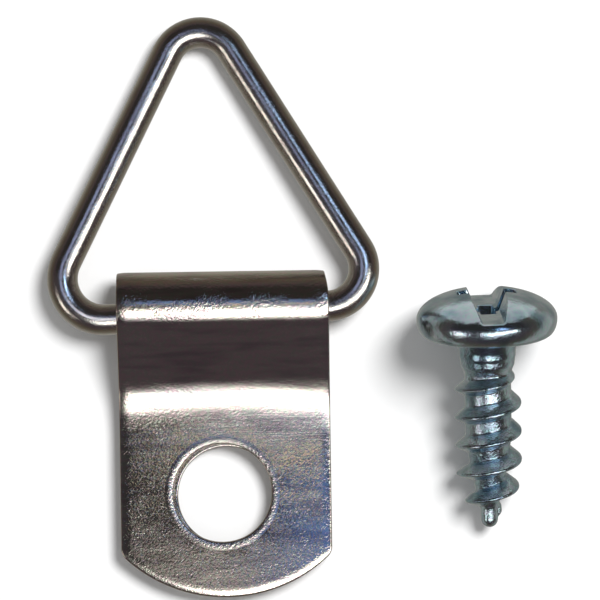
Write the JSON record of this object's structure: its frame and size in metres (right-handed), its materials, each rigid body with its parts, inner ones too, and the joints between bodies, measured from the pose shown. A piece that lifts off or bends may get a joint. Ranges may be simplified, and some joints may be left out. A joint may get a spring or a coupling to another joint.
{
  "type": "d ring picture hanger",
  "caption": "Folded metal strap hanger with a swinging triangular wire ring, and its loose pan head wood screw.",
  "frame": {"origin": "on the strap's back face, on its middle line, straight under the ring's hinge axis", "axes": "+X across the strap towards the screw, +Y from the strap towards the ring's apex, +Z out of the back face, away from the frame or table that it lies on"},
  "size_m": [0.0246, 0.0283, 0.0066],
  "materials": {
    "nickel_strap": "nickel-plated steel sheet, bright, with a tumbled speckle and fine scratches on its flats",
    "nickel_wire": "nickel-plated drawn steel wire, bright",
    "zinc_screw": "blue-white zinc-plated steel, bright"
  },
  "bodies": {
    "strap": {"folded_strap": "nickel_strap"},
    "ring": {"triangle_ring": "nickel_wire"},
    "screw": {"wood_screw": "zinc_screw"}
  },
  "joints": [
    {"name": "ring_swing", "type": "hinge", "parent": "strap", "child": "ring", "pos_m": [0, 0, 0.0014], "axis": [0.9989, 0.0471, 0], "range_deg": [0, 175]},
    {"name": "screw_lift", "type": "slide", "parent": "strap", "child": "screw", "axis": [0, 0, 1], "range_m": [0, 0.02]}
  ]
}
